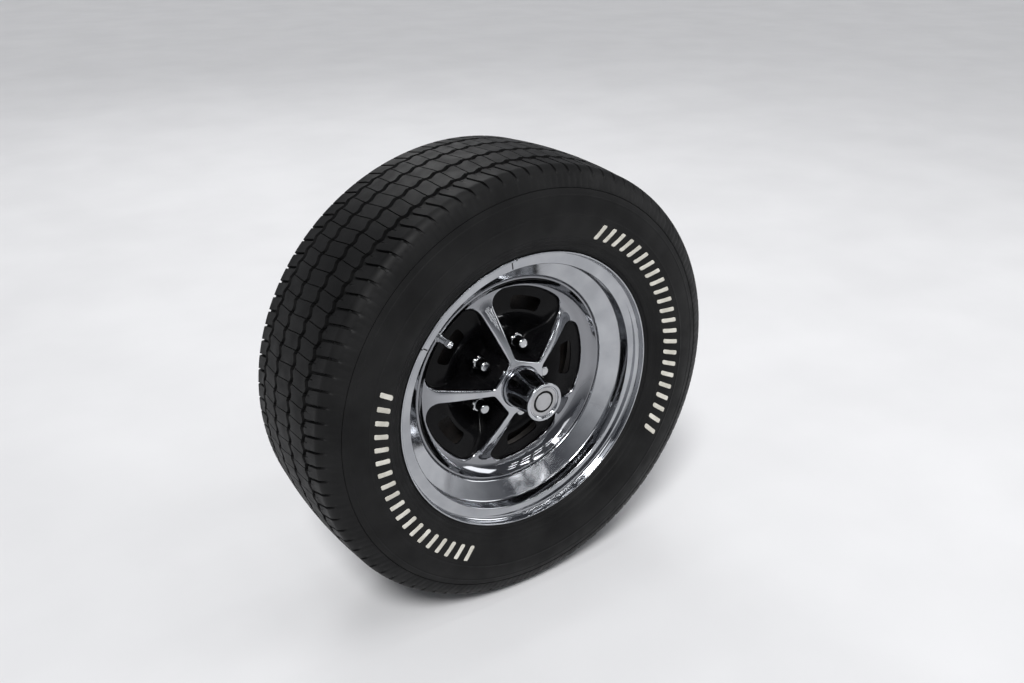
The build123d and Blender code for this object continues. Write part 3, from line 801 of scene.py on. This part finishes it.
spider_chrome = plated("spider_chrome", (0.39, 0.40, 0.42), (0.47, 0.48, 0.50), rough=(0.04, 0.10))
# Painted dark reflection: the chrome is darkened from 96 mm out to 140 mm radius, and over the outer ring
# beyond.
dust_and_shade_over(spider_chrome, (1, 0, 1), painted_reflection_start_r, painted_reflection_end_r, (0.25, 0.255, 0.27))
pocket_black = finish(
    "pocket_black", (0.003, 0.003, 0.0035), (0.006, 0.006, 0.0065),
    patch=40, rough=(0.12, 0.24), grain=(160, 0.00003), specular=0.09,
)

spider_points = []
spider_faces = []
spider_black = []
for pocket in range(spoke_count):
    turn = pocket_phase + 2 * half_pocket * pocket

    def placed(point, depth):
        return around(point.length, atan2(point.y, point.x) + turn, depth)

    first = len(spider_points)
    for loop in loops:
        spider_points += [placed(point, depth) for point, depth in loop]
    for level in range(len(loops) - 1):
        a = first + level * edge_count
        b = a + edge_count
        for i in range(edge_count):
            j = (i + 1) % edge_count
            spider_faces.append((a + j, a + i, b + i, b + j))
            spider_black.append(level >= chrome_loops)
    first = len(spider_points)
    spider_points += [placed(point, floor_depth(point.length)) for point in floor_places]
    for face in floor_faces:
        spider_faces.append(tuple(first + i for i in face))
        spider_black.append(True)

flange_r = well_in_r - well_fit
outer_ring = rounded(
    [
        (ring_join_r, face_depth(ring_join_r)),
        (ring_edge_r, ring_edge_depth - ring_edge_lift),
        (flange_r, ring_edge_depth - 0.2),
        (flange_r, ring_edge_depth + weld_flange_length),
    ],
    [1.6, 2.0],
)
hub_bore_end = hub_ring_depth + hub_bore_length
hub_ring = rounded(
    [(hub_bore_r, hub_bore_end), (hub_bore_r, hub_ring_depth), (hub_ring_r, hub_ring_depth)], [2.2]
)
for path, limit_r in ((outer_ring, ring_join_r), (hub_ring, hub_ring_r)):
    angles = sorted(atan2(p.y, p.x) for p in share_edge if abs(p.length - limit_r) < 0.001)
    angles = [a for a in angles if a > -half_pocket + 0.0001]
    turns = [pocket_phase + 2 * half_pocket * k + a for k in range(spoke_count) for a in angles]
    first = len(spider_points)
    for angle in turns:
        spider_points += [around(p.x, angle, p.y) for p in path]
    ring_faces = skin_over(len(path), len(turns), ring=False, first=first)
    spider_faces += ring_faces
    spider_black += [False] * len(ring_faces)

spider_mesh = bpy.data.meshes.new("five_spoke_spider")
spider_mesh.from_pydata(spider_points, [], spider_faces)
spider_mesh.materials.append(spider_chrome)
spider_mesh.materials.append(pocket_black)
spider_mesh.polygons.foreach_set("material_index", spider_black)
spider_shell = bmesh.new()
spider_shell.from_mesh(spider_mesh)
bmesh.ops.remove_doubles(spider_shell, verts=spider_shell.verts, dist=0.02 * mm)
for edge in spider_shell.edges:
    edge.smooth = not edge.is_boundary and edge.calc_face_angle(0.0) < radians(50)
for face in spider_shell.faces:
    face.smooth = True
spider_shell.to_mesh(spider_mesh)
spider_shell.free()
spider = stand_up("five_spoke_spider", spider_mesh)
sheet = spider.modifiers.new("sheet", "SOLIDIFY")
sheet.thickness = pressed_sheet * mm
sheet.offset = -1.0
fit(spider, "wheel", "spoke_chrome", "spider")

# Cover strip: a thin bright steel strip, rolled to the flange's shape and stuck down on it.
# At each of its ends a dark hairline of painted shade stands for the gap there.
strip_start = radians(97.0)
strip_sweep = radians(49.5)
strip_sheet = 0.45
strip_gap = 0.05
strip_steps = 88
strip_path = lip_end(lip_round, -1)
strip_path += [p for p in rim_face if p.y < flange_depth + 1 and p.x > bead_seat_r]
strip_path.append(Vector((bead_seat_r, flange_depth)))
strip_outline = beside(strip_path, -strip_gap) + beside(strip_path, -strip_gap - strip_sheet)[::-1]
strip = turned("cover_strip_sheet", strip_outline, rim_chrome, strip_steps, strip_start, strip_sweep)
strip_end_shade = finish("strip_end_shade", (0.008, 0.008, 0.008), (0.014, 0.014, 0.014), patch=90, rough=(0.6, 0.7))
strip.data.materials.append(strip_end_shade)
shaded_end_sweep = strip_sweep / strip_steps
# The sliver of faces at each end takes the painted shade.
for face in strip.data.polygons:
    turn = atan2(face.center.z, face.center.x) - strip_start
    if turn < shaded_end_sweep or turn > strip_sweep - shaded_end_sweep:
        face.material_index = 1
fit(strip, "wheel", "chrome", "cover_strip")

# Valve: a clamp-in stem through the slope of the bead seat, held there by a washer and a nut,
# with a knurled metal cap screwed on. All of it is bright plated.
valve_angle = radians(140.0)
valve_lean = radians(20.0)
valve_seat_r = 163.5
valve_share = (seat_in_r - valve_seat_r) / (seat_in_r - well_in_r)
valve_seat_depth = seat_end + valve_share * (well_start - seat_end)
valve_top = 29.0
knurl_count = 28
knurl_depth = 0.035
knurl_from_r = 4.2
valve_nut_across = 11.0
valve_way = (
    -sin(valve_lean) * cos(valve_angle),
    -cos(valve_lean),
    -sin(valve_lean) * sin(valve_angle),
)
valve_place = Vector(around(valve_seat_r, valve_angle, valve_seat_depth)) / mm
valve_frame = frame_at(valve_place, valve_way)


def knurled(r, angle, h):
    """Fine grip round the valve cap."""
    return r * (1 + knurl_depth * cos(knurl_count * angle)) if r > knurl_from_r else r


stem = [(0, -5), (3.9, -5), (3.9, 2.0), (5.9, 2.4), (6.4, 2.9)]
stem += [(6.4, 3.6), (4.6, 3.9), (4.6, 18.4), (0, 18.4)]
valve_nut = [(0, 3.4), (5.4, 3.4), (5.9, 3.8), (5.9, 7.2), (5.3, 7.8), (0, 7.8)]
valve_chrome = plated("valve_chrome", (0.42, 0.43, 0.44), (0.52, 0.53, 0.54), rough=(0.07, 0.16))
valve = set_down(
    "valve_sleeve",
    [(spun(stem), valve_frame), (spun(valve_nut, shape=hexed(valve_nut_across)), valve_frame)],
    valve_chrome,
)
fit(valve, "wheel", "valve_chrome", "valve_stem")
valve_cap_outline = [(0, 19.0), (4.3, 19.0), (4.65, 19.3), (4.65, 26.6)]
valve_cap_outline += [(4.1, 27.0), (4.0, valve_top - 1), (0, valve_top)]
valve_cap_shape = spun(valve_cap_outline, steps=6 * knurl_count, shape=knurled)
valve_cap = set_down("knurled_valve_cap", [(valve_cap_shape, valve_frame)], valve_chrome, sharp=60)
fit(valve_cap, "wheel", "valve_chrome", "valve_cap")

# Tyre: a radial tyre moulded in black rubber on textile and steel cords, seated on the rim by air.
# The casing has a rib that guards the rim and fine moulded rings. The tread is laid round it,
# with zigzag grooves, fine cuts in its ribs, and slots that run out over a serrated shoulder.
tyre_r = 331.37
tyre_width = 240.0
tread_width = 203.0
bulge_r = 262.0
sidewall = 9.0
crown_drop = 5.0
tread_edge_round = 14.0
buttress_drop = 16.0
buttress_swell = 3.0
shoulder_sag = 3.1
bead_gap = 0.2
seam_r = 299.5
tread_proud = 0.5
widest_depth = (rim_width - tyre_width) / 2
tread_start = (rim_width - tread_width) / 2
tyre_middle = rim_width / 2
bead_r = bead_seat_r + bead_gap
bead_back = flange_depth + rim_sheet + bead_gap
skin_spacing = 1.2


def arc_points(a, b, c, spacing):
    """Evenly spaced points along the arc from a through b to c."""
    centre, r = arc_through(a, b, c)
    start = atan2(a[1] - centre.y, a[0] - centre.x)
    end = atan2(c[1] - centre.y, c[0] - centre.x)
    turn = (end - start + pi) % (2 * pi) - pi
    steps = max(2, ceil(abs(turn) * r / spacing))
    return [centre + polar(r, start + turn * i / steps) for i in range(steps + 1)]


def leaving(start, way, end):
    """Middle point of the arc that leaves start along a way and stops at end."""
    chord = end - start
    across = Vector((-way[1], way[0]))
    r = chord.length_squared / (2 * chord.dot(across))
    centre = start + across * r
    return centre + (start + end - 2 * centre).normalized() * abs(r)


bead_top = Vector((lip_r + bead_gap, 2))
widest = Vector((bulge_r, widest_depth))
buttress = Vector((tyre_r - buttress_drop, tread_start - buttress_swell))
tread_corner = Vector((tyre_r - crown_drop, tread_start + tread_edge_round))
crown = Vector((tyre_r, tyre_middle))
corner_way = (tread_corner - buttress).normalized()
corner_top = buttress.lerp(tread_corner, 0.5) + Vector((corner_way.y, -corner_way.x)) * shoulder_sag
half_skin = []
for a, b, c in (
    (bead_top, leaving(widest, (-1, 0), bead_top), widest),
    (widest, leaving(widest, (1, 0), buttress), buttress),
    (buttress, corner_top, tread_corner),
    (tread_corner, leaving(crown, (0, -1), tread_corner), crown),
):
    half_skin += arc_points(a, b, c, skin_spacing)[1 if half_skin else 0:]
skin_reach = [0.0]
for a, b in zip(half_skin[::-1], half_skin[-2::-1]):
    skin_reach.append(skin_reach[-1] + (b - a).length)
half_skin.reverse()


def skin(reach):
    """Place and outward way on the tyre's skin, by its distance from the middle of the tread."""
    away = min(abs(reach), skin_reach[-1] - 0.001)
    i = next(k for k in range(1, len(skin_reach)) if skin_reach[k] >= away)
    share = (away - skin_reach[i - 1]) / (skin_reach[i] - skin_reach[i - 1])
    place = half_skin[i - 1].lerp(half_skin[i], share)
    ahead = (half_skin[min(i + 1, len(half_skin) - 1)] - half_skin[max(i - 2, 0)]).normalized()
    out = Vector((-ahead.y, ahead.x))
    if reach > 0:
        return Vector((place.x, 2 * tyre_middle - place.y)), Vector((out.x, -out.y))
    return place, out


def lifted(reach, height):
    """Point a height above the tyre's skin."""
    place, out = skin(reach)
    return place + out * height


seam_reach = skin_reach[next(i for i, p in enumerate(half_skin) if p.x < seam_r)]
toe_reach = skin_reach[-1]
rim_guard = (217.0, 3.2, 1.5)
fine_rings = ((226.0, 0.9, 0.35), (232.0, 0.9, 0.35), (264.5, 1.0, 0.4), (290.0, 1.0, 0.35))
inner_ring_lift = 0.4
tuck_under = 5.0
tuck_depth = 1.5


def ring_height(r):
    """Height of the rim guard and of the fine rings moulded on the sidewall."""
    height = 0.0
    for ring_r, half_width, ring_lift in (rim_guard, *fine_rings):
        away = abs(r - ring_r) / half_width
        if away < 1:
            height += ring_lift * (1 - away**4)
    return height


def sidewall_path(side_sign):
    """Outer skin from under the tread's edge down to the rim."""
    path = []
    steps = 210
    for i in range(steps + 1):
        reach = seam_reach - tuck_under + (toe_reach - seam_reach + tuck_under) * i / steps
        place, out = skin(side_sign * reach)
        height = ring_height(place.x)
        if side_sign > 0:
            height = min(height, inner_ring_lift)
        sunk = tuck_depth if reach < seam_reach + 0.3 else 0.0
        path.append(place + out * (height - sunk))
    return path


def thinned(path, bend=radians(0.8), longest=7.0):
    """The path without the points that lie nearly in line."""
    kept = [path[0]]
    for i in range(1, len(path) - 1):
        before = path[i] - kept[-1]
        after = path[i + 1] - path[i]
        if before.angle(after, 0.0) > bend or before.length > longest:
            kept.append(path[i])
    return kept + [path[-1]]


bead_outline = [
    (lip_r + bead_gap, bead_back - 5), (lip_r - 5, bead_back), (bead_r + 2, bead_back),
    (bead_r, bead_back + 2), (bead_r, bead_back + 2 * sidewall), (lip_r + 8, bead_back + sidewall),
]


def mirrored(path):
    """The same path on the tyre's inner side."""
    return [Vector((p[0], 2 * tyre_middle - p[1])) for p in path]


outer_wall = thinned(sidewall_path(-1))
inner_wall = thinned(sidewall_path(1))
lining_reach = 0.93 * toe_reach
lining_depth = sidewall + 3.0
belt_reach = seam_reach - 8.0
belt_depth = 5.0
lining = [lifted(lining_reach * (i / 20 - 1), -lining_depth) for i in range(41)]
under_tread = [lifted(belt_reach * (1 - i / 12), -belt_depth) for i in range(25)]
casing_outline = outer_wall + bead_outline + lining
casing_outline += mirrored(bead_outline)[::-1] + inner_wall[::-1] + under_tread
rubber = finish(
    "tyre_rubber", (0.005, 0.005, 0.0052), (0.010, 0.010, 0.0102),
    patch=18, rough=(0.46, 0.64), grain=(700, 0.00012), specular=0.14,
)
casing = turned("tyre_casing", casing_outline, rubber, steps=240, sharp=50)
fit(casing, "wheel", "tyre", "tyre")

pitch_count = 96
groove_depth = 8.0
slot_depth = 5.5
cut_depth = 3.0
serration_height = 0.7
serrations_per_pitch = 2
serration_fade_in = 4.0
serration_fade_out = 2.0
groove_half = 4.2
groove_wall = 1.0
zigzag = 3.2
grooves = (-63.0, -22.0, 22.0, 63.0)
ribs = (-85.0, -74.0, -50.0, -42.5, -35.0, -7.5, 0.0, 7.5, 35.0, 42.5, 50.0, 74.0, 85.0)
slot_rows = (0.03, 0.15)
cut_rows = (0.515, 0.555)
row_shares = (0.0, *slot_rows, 0.18, 0.34, 0.5, *cut_rows, 0.57, 0.79)
tread_edge = skin_reach[next(i for i, p in enumerate(half_skin) if p.x < tyre_r - crown_drop)]
shoulder_low_r = 313.0
shoulder_end = skin_reach[next(i for i, p in enumerate(half_skin) if p.x < shoulder_low_r)]
shoulder_start = 90.0
shoulder_steps = 17
lean_gain = 0.55
lean_start = 10.0
lean_run = 95.0
ripple_gain = 0.12
ripple_length = 14.0
mid_zigzag_share = 0.4
mid_zigzag_reach = 60.0
shoulder_run = 6.0
rib_thick = 11.0
shoulder_thick = 3.0
groove_wall_half = groove_half - groove_wall
columns = [(rib, False, False) for rib in ribs]
for groove in grooves:
    for offset in (-groove_half, -groove_wall_half, groove_wall_half, groove_half):
        columns.append((groove + offset, abs(offset) < groove_half, True))
for i in range(shoulder_steps + 1):
    reach = shoulder_start + (seam_reach - shoulder_start) * i / shoulder_steps
    columns += [(reach, False, False), (-reach, False, False)]
columns.sort()


def turn_at(reach, row):
    """Angle round the tyre of a row of the tread, which leans across it like a long S."""
    pitch, place_in_row = divmod(row, len(row_shares))
    lean = lean_gain * copysign(eased((abs(reach) - lean_start) / lean_run), reach)
    lean += ripple_gain * sin(reach / ripple_length)
    return 2 * pi * (pitch + row_shares[place_in_row] + lean) / pitch_count


def tread_point(column, row):
    """Place on the tread for a column across it and a row round it, with the angle it sits at."""
    reach, deep, zigzags = column
    angle = turn_at(reach, row)
    share = row_shares[row % len(row_shares)]
    wave = abs(2 * ((share + 0.25) % 1.0) - 1) * 2 - 1
    reach += zigzag * wave * (1 if zigzags else mid_zigzag_share * (abs(reach) < mid_zigzag_reach))
    sink = 0.0
    out_there = abs(reach) > grooves[-1] + groove_half
    if share in slot_rows and out_there:
        sink = slot_depth * (1 - eased((abs(reach) - tread_edge) / (shoulder_end - tread_edge)))
    if share in cut_rows and not out_there:
        sink = cut_depth
    if deep:
        sink = groove_depth
    proud = tread_proud * eased((abs(reach) - tread_edge) / shoulder_run)
    onto_shoulder = abs(reach) - shoulder_end + shoulder_run
    if onto_shoulder > 0:
        left = max(0.0, seam_reach - abs(reach))
        fade = min(1.0, onto_shoulder / serration_fade_in, left / serration_fade_out)
        ridge = 0.5 - 0.5 * cos(2 * pi * serrations_per_pitch * share)
        proud += serration_height * fade * ridge * max(0.0, 1 - sink)
    limit = tyre_r - lifted(reach, 0).x
    return lifted(reach, min(proud, limit) - sink), angle


row_count = pitch_count * len(row_shares)
inner_columns = [(seam_reach - 0.4) * (1 - 2 * i / 14) for i in range(15)]
tread_points = []
for row in range(row_count):
    for column in columns:
        place, angle = tread_point(column, row)
        tread_points.append(around(place.x, angle, place.y))
    for reach in inner_columns:
        place = lifted(reach, -shoulder_thick if abs(reach) > tread_edge else -rib_thick)
        tread_points.append(around(place.x, turn_at(reach, row), place.y))
tread_faces = skin_over(len(columns) + len(inner_columns), row_count)
tread = piece_of("tyre_tread", tread_points, tread_faces, rubber, sharp=38)
fit(tread, "wheel", "tyre")

# Raised marks: plain slanted bars of white rubber, moulded into the sidewall in two rows
# and buffed clean, so their tops are smooth and their edges slightly soft.
mark_bands = ((66.0, -29.0, 23), (241.0, 162.5, 19))
mark_low_r = 236.0
mark_high_r = 258.0
mark_half_width = 3.5
mark_slant = radians(16)
mark_lift = 0.7
mark_root = 0.6
mark_bevel = 0.25
mark_top_inset = 1.1
mark_corner = 2.0


def reach_of(r):
    """Distance from the middle of the tread at which the outer sidewall has a radius."""
    return -skin_reach[next(i for i, p in enumerate(half_skin) if p.x <= r)]


def mark_outline(shrink):
    """Rounded bar, drawn flat about its own middle: along the wheel's turn, then outward."""
    tall = (mark_high_r - mark_low_r) / 2 - shrink
    wide = mark_half_width - shrink
    bar = rounded(
        [(0, -tall), (wide, -tall), (wide, tall), (-wide, tall), (-wide, -tall), (0, -tall)],
        [mark_corner - shrink] * 4,
        turn=radians(18),
    )[:-1]
    return [Vector((p.x + p.y * tan(mark_slant), p.y)) for p in bar]


def mark_point(flat, mark_angle, height):
    """Point over the sidewall for a flat point of a mark."""
    r = (mark_low_r + mark_high_r) / 2 + flat.y
    place = lifted(reach_of(r), height)
    return around(place.x, mark_angle - flat.x / r, place.y)


mark_points, mark_faces = [], []
for first_angle, last_angle, count in mark_bands:
    for i in range(count):
        mark_angle = radians(first_angle + (last_angle - first_angle) * i / (count - 1))
        rings = [(0.0, -mark_root), (0.0, mark_lift - mark_bevel)]
        rings += [(mark_bevel, mark_lift), (mark_top_inset, mark_lift)]
        outlines = [[mark_point(p, mark_angle, h) for p in mark_outline(s)] for s, h in rings]
        size = len(outlines[0])
        first = len(mark_points)
        for outline in outlines:
            mark_points += outline
        mark_faces += skin_over(size, len(rings), loop=False, first=first)
        mark_faces.append(tuple(first + (len(rings) - 1) * size + k for k in range(size)))
        mark_faces.append(tuple(first + k for k in reversed(range(size))))
white_rubber = finish(
    "white_rubber", (0.50, 0.48, 0.42), (0.66, 0.64, 0.58),
    patch=60, rough=(0.5, 0.7), grain=(900, 0.00006),
)
marks = piece_of("raised_white_bars", mark_points, mark_faces, white_rubber, sharp=50)
fit(marks, "wheel", "tyre")

# Lug nuts: five closed steel nuts, chromed, with a tall round end over a hexagon.
# Each has a cone seat that centres the wheel on its stud.
nut_across = 20.6
nut_dome_r = 8.2
nut_hex_top = 24.0
nut_top = 41.7
nut_corner_r = nut_across / 2 / cos(pi / 6)
nut_outline = [(0, -4.5), (7.1, -4.5), (9.7, 0), (10.2, 0), (nut_corner_r, 1.1)]
nut_outline += [(nut_corner_r, nut_hex_top - 1.3), (nut_across / 2 - 0.6, nut_hex_top)]
nut_outline += rounded(
    [
        (nut_dome_r + 0.4, nut_hex_top), (nut_dome_r, nut_hex_top + 0.2),
        (nut_dome_r - 0.3, nut_top - 0.6), (0, nut_top),
    ],
    [0, 3.2],
    turn=radians(9),
)
nut_chrome = plated("nut_chrome", (0.45, 0.46, 0.47), (0.54, 0.55, 0.56), rough=(0.05, 0.12))
nuts = []
for nut in range(spoke_count):
    nut_angle = pocket_phase + 2 * half_pocket * nut
    nut_place = Vector(around(stud_circle_r, nut_angle, pad_depth)) / mm
    nut_frame = frame_at(nut_place, (0, -1, 0))
    nuts.append((spun(nut_outline, steps=96, shape=hexed(nut_across)), nut_frame))
lug_nuts = set_down("chromed_lug_nuts", nuts, nut_chrome)
fit(lug_nuts, "wheel", "nut_chrome", "lug_nuts")

# Centre cap: a shell drawn from thin steel and chromed, pushed into the spider's hub.
# Its face is rolled out to a round bead and dished, with a satin ring round a black line and a plain disc.
cap_reach = 31.1
cap_face_r = 28.8
cap_neck_r = 25.6
cap_bore_r = hub_bore_r - 0.2
cap_skirt = 16.0
cap_floor = 3.0 - cap_reach
satin_out_r = 21.4
satin_in_r = 16.6
line_out_r = 16.2
line_in_r = 13.3
disc_r = 13.2
cap_shell = rounded(
    [
        (cap_bore_r, hub_ring_depth + cap_skirt), (cap_bore_r, hub_ring_depth - 3),
        (cap_neck_r, 6.5 - cap_reach), (cap_face_r, 3.4 - cap_reach), (cap_face_r, -cap_reach),
        (cap_face_r - 4.2, -cap_reach), (cap_face_r - 5.2, cap_floor - 0.4), (22.3, cap_floor + 0.5),
        (satin_out_r, cap_floor), (satin_in_r, cap_floor), (satin_in_r - 0.3, cap_floor + 0.5),
        (0, cap_floor + 0.5),
    ],
    [2.0, 3.0, 1.0, 1.6, 1.5, 1.2, 0.4, 0.4, 0.2, 0],
    turn=radians(9),
)
cap_inside = [(0, cap_floor + 2), (23, cap_floor + 2.5), (29, 20), (29, hub_ring_depth + cap_skirt)]
cap_chrome = plated("cap_chrome", (0.41, 0.42, 0.44), (0.49, 0.50, 0.52), rough=(0.04, 0.09))
cap = turned("drawn_centre_cap", cap_shell + cap_inside, cap_chrome, steps=192, sharp=45)
cap_satin = finish(
    "cap_satin", (0.40, 0.40, 0.41), (0.47, 0.47, 0.48), patch=60, rough=(0.30, 0.42), metal=1.0
)
cap.data.materials.append(cap_satin)
for face in cap.data.polygons:
    place = face.center / mm
    r = hypot(place.x, place.z)
    if satin_in_r - 0.1 < r < satin_out_r + 0.2 and place.y - lip_y < cap_floor + 0.3:
        face.material_index = 1
fit(cap, "wheel", "cap_chrome", "centre_cap")

ring_black = finish(
    "ring_black", (0.003, 0.003, 0.003), (0.005, 0.005, 0.005), patch=90, rough=(0.34, 0.45), specular=0.1
)
ring_outline = rounded(
    [
        (line_in_r, cap_floor + 0.4), (line_in_r, cap_floor - 0.3), (line_out_r, cap_floor - 0.3),
        (line_out_r, cap_floor + 0.4), (line_in_r, cap_floor + 0.4),
    ],
    [0.3, 0.3, 0],
)[:-1]
ring = turned("black_line", ring_outline, ring_black, steps=128)
fit(ring, "wheel", "black_ring", "cap_ring")
disc_outline = rounded(
    [(0, cap_floor + 0.4), (disc_r, cap_floor + 0.4), (disc_r, cap_floor - 0.5), (0, cap_floor - 0.65)],
    [0, 0.5],
)
disc = turned("plain_disc", disc_outline, cap_satin, steps=128)
fit(disc, "wheel", "satin_metal", "cap_disc")
